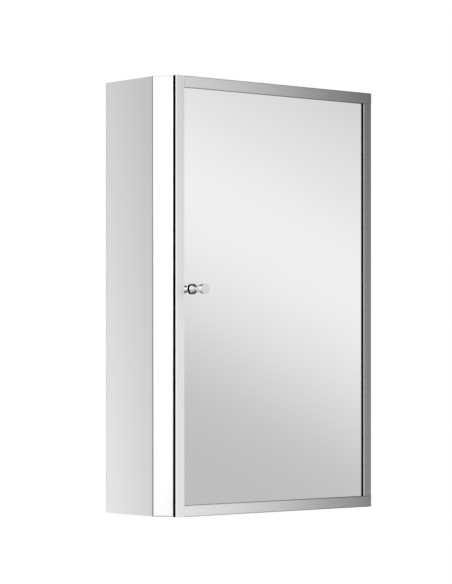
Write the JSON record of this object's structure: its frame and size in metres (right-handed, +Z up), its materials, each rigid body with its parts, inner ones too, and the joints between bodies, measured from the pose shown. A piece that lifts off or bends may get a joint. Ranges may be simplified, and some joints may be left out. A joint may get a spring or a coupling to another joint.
{
  "type": "mirrored wall cabinet",
  "caption": "Slim sheet-steel wall cabinet with slanted front edges, a framed mirror door on side hinges, a waisted knob and glass shelves inside.",
  "frame": {"origin": "on the wall plane, at the middle of the four wall screw holes", "axes": "+X to the right of a person facing the door, -Y into the room, +Z up"},
  "size_m": [0.3, 0.1265, 0.4604],
  "materials": {
    "satin_steel": "satin stainless sheet, fine vertical grain",
    "frame_steel": "smooth polished stainless bar with rounded edges",
    "bright_steel": "bright zinc-plated steel",
    "black_plastic": "matt black moulding",
    "mirror": "silvered float glass",
    "chrome": "bright chrome plate",
    "rubber": "matt rubber",
    "clear_glass": "clear glass with polished edges",
    "catch_plastic": "pale grey moulding",
    "magnet": "dark sintered ferrite"
  },
  "bodies": {
    "cabinet": {"back_panel": "satin_steel", "bottom_pan": "satin_steel", "bumpers": "rubber", "catch_housing": "catch_plastic", "catch_magnet": "magnet", "catch_poles": "bright_steel", "catch_screws": "bright_steel", "hinge_rivets": "bright_steel", "left_back_shelf_rail": "bright_steel", "left_front_shelf_rail": "bright_steel", "left_side": "satin_steel", "lower_hinge_body_leaf": "bright_steel", "lower_hinge_pin": "bright_steel", "lower_shelf": "clear_glass", "lower_shelf_pins": "bright_steel", "right_back_shelf_rail": "bright_steel", "right_front_shelf_rail": "bright_steel", "right_side": "satin_steel", "top_pan": "satin_steel", "upper_hinge_body_leaf": "bright_steel", "upper_hinge_pin": "bright_steel", "upper_shelf": "clear_glass", "upper_shelf_pins": "bright_steel"},
    "door": {"bottom_rail": "frame_steel", "door_backing": "satin_steel", "door_carrier": "black_plastic", "hinge_screws": "bright_steel", "knob": "chrome", "knob_screw": "bright_steel", "knob_washer": "rubber", "left_stile": "frame_steel", "lower_hinge_door_leaf": "bright_steel", "mirror_glass": "mirror", "right_stile": "frame_steel", "strike_plate": "bright_steel", "top_rail": "frame_steel", "upper_hinge_door_leaf": "bright_steel"}
  },
  "joints": [
    {"name": "door_swing", "type": "hinge", "parent": "cabinet", "child": "door", "pos_m": [0.1368, -0.0983, 0], "axis": [0, 0, 1], "range_deg": [0, 110]}
  ]
}
